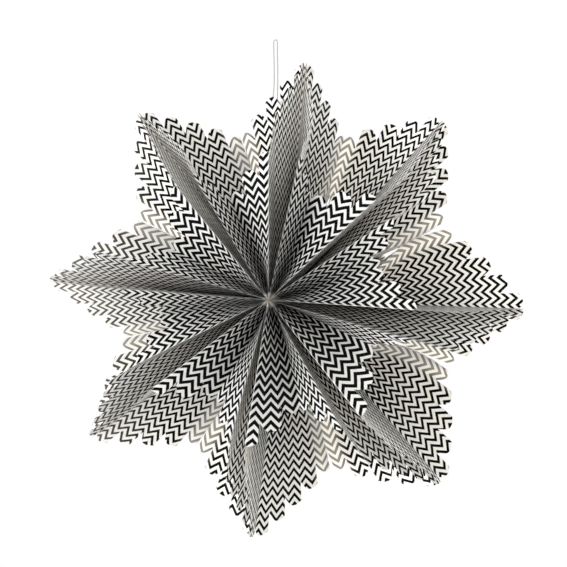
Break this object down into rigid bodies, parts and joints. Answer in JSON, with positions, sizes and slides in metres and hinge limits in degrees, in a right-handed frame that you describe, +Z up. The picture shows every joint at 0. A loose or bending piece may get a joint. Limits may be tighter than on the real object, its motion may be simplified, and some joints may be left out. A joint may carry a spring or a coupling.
{
  "type": "paper star",
  "caption": "Hanging star folded from gusseted paper bags with scalloped edges, fanned round one axis, on a thread loop.",
  "frame": {"origin": "middle of the star's own axis, half way between its front and its back, which is the centre of the bags' outline", "axes": "+Y along the star's axis, from its front to its back; the front faces -Y; +Z up towards the hanging loop; +X to the right seen from the front"},
  "size_m": [0.5994, 0.366, 0.6359],
  "materials": {
    "printed_paper": "thin matt white paper printed with fine black chevrons",
    "thread": "smooth pale grey thread"
  },
  "bodies": {
    "root": {"bag_1": "printed_paper", "bag_2": "printed_paper", "bag_3": "printed_paper", "bag_4": "printed_paper", "bag_5": "printed_paper", "bag_6": "printed_paper", "bag_7": "printed_paper", "bag_8": "printed_paper", "hanging_loop": "thread"}
  },
  "joints": []
}
